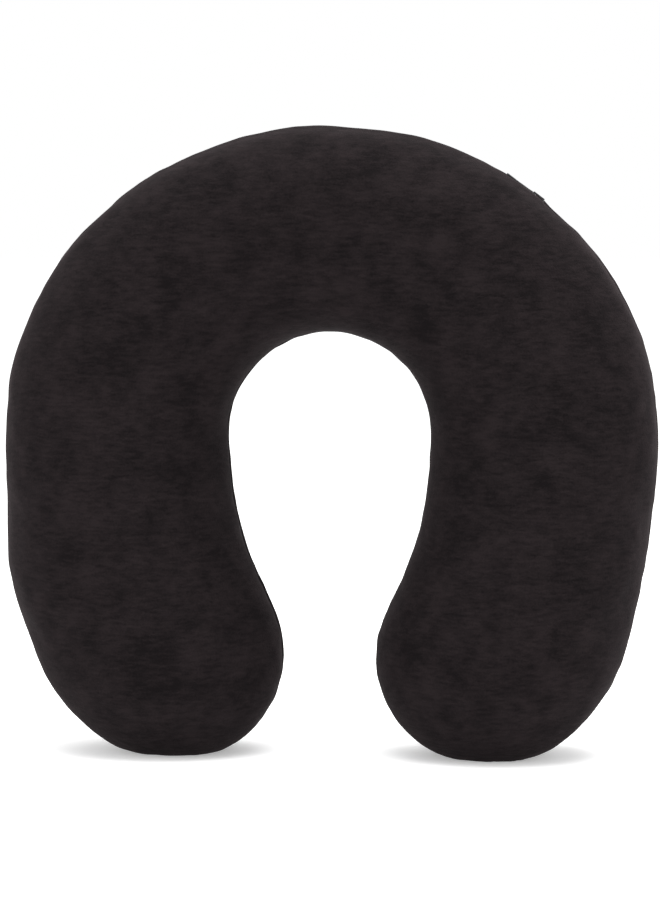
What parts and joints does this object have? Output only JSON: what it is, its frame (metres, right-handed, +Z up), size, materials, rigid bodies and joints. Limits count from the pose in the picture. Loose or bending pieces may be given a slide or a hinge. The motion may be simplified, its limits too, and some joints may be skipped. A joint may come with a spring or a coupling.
{
  "type": "u shaped neck pillow",
  "caption": "U-shaped memory foam travel neck pillow in a black velour zipped cover, standing on its two rounded ends, with a sliding zipper slider and hinged pull tab.",
  "frame": {"origin": "on the floor, under the middle of the pillow's box, as it stands on its two rounded ends", "axes": "+Z up from the two ends to the crown; X across the U, one leg on each side; Y through the thickness, with the face towards -Y; +X is the side where the zipper closes"},
  "size_m": [0.3202, 0.1042, 0.3068],
  "materials": {
    "velour": "matte",
    "foam": "matte",
    "liner": "matte",
    "thread": "satin",
    "label": "satin",
    "zipper_tape": "matte",
    "zipper_coil": "satin",
    "zipper_stop": "satin",
    "zipper_metal": "satin"
  },
  "bodies": {
    "pillow": {"foam_core": "foam", "liner_front_panel": "liner", "liner_back_panel": "liner", "cover_front_panel": "velour", "cover_back_panel": "velour", "cover_seam_thread": "thread", "care_label": "label", "zipper_tape_front": "zipper_tape", "zipper_tape_back": "zipper_tape", "zipper_coil_front": "zipper_coil", "zipper_coil_back": "zipper_coil", "zipper_topstitch_front": "thread", "zipper_topstitch_back": "thread", "zipper_top_stop_front": "zipper_stop", "zipper_top_stop_back": "zipper_stop", "zipper_bottom_stop": "zipper_stop"},
    "slider": {"zipper_slider": "zipper_metal"},
    "pull_tab": {"zipper_pull_tab": "zipper_metal"}
  },
  "joints": [
    {"name": "zipper_travel", "type": "hinge", "parent": "pillow", "child": "slider", "pos_m": [0, 0, 0.14], "axis": [0, -1, 0], "range_deg": [0, 74]},
    {"name": "pull_tab_swing", "type": "hinge", "parent": "slider", "child": "pull_tab", "pos_m": [0.09972, 0, 0.27329], "axis": [0, 1, 0], "range_deg": [0, 150]}
  ]
}
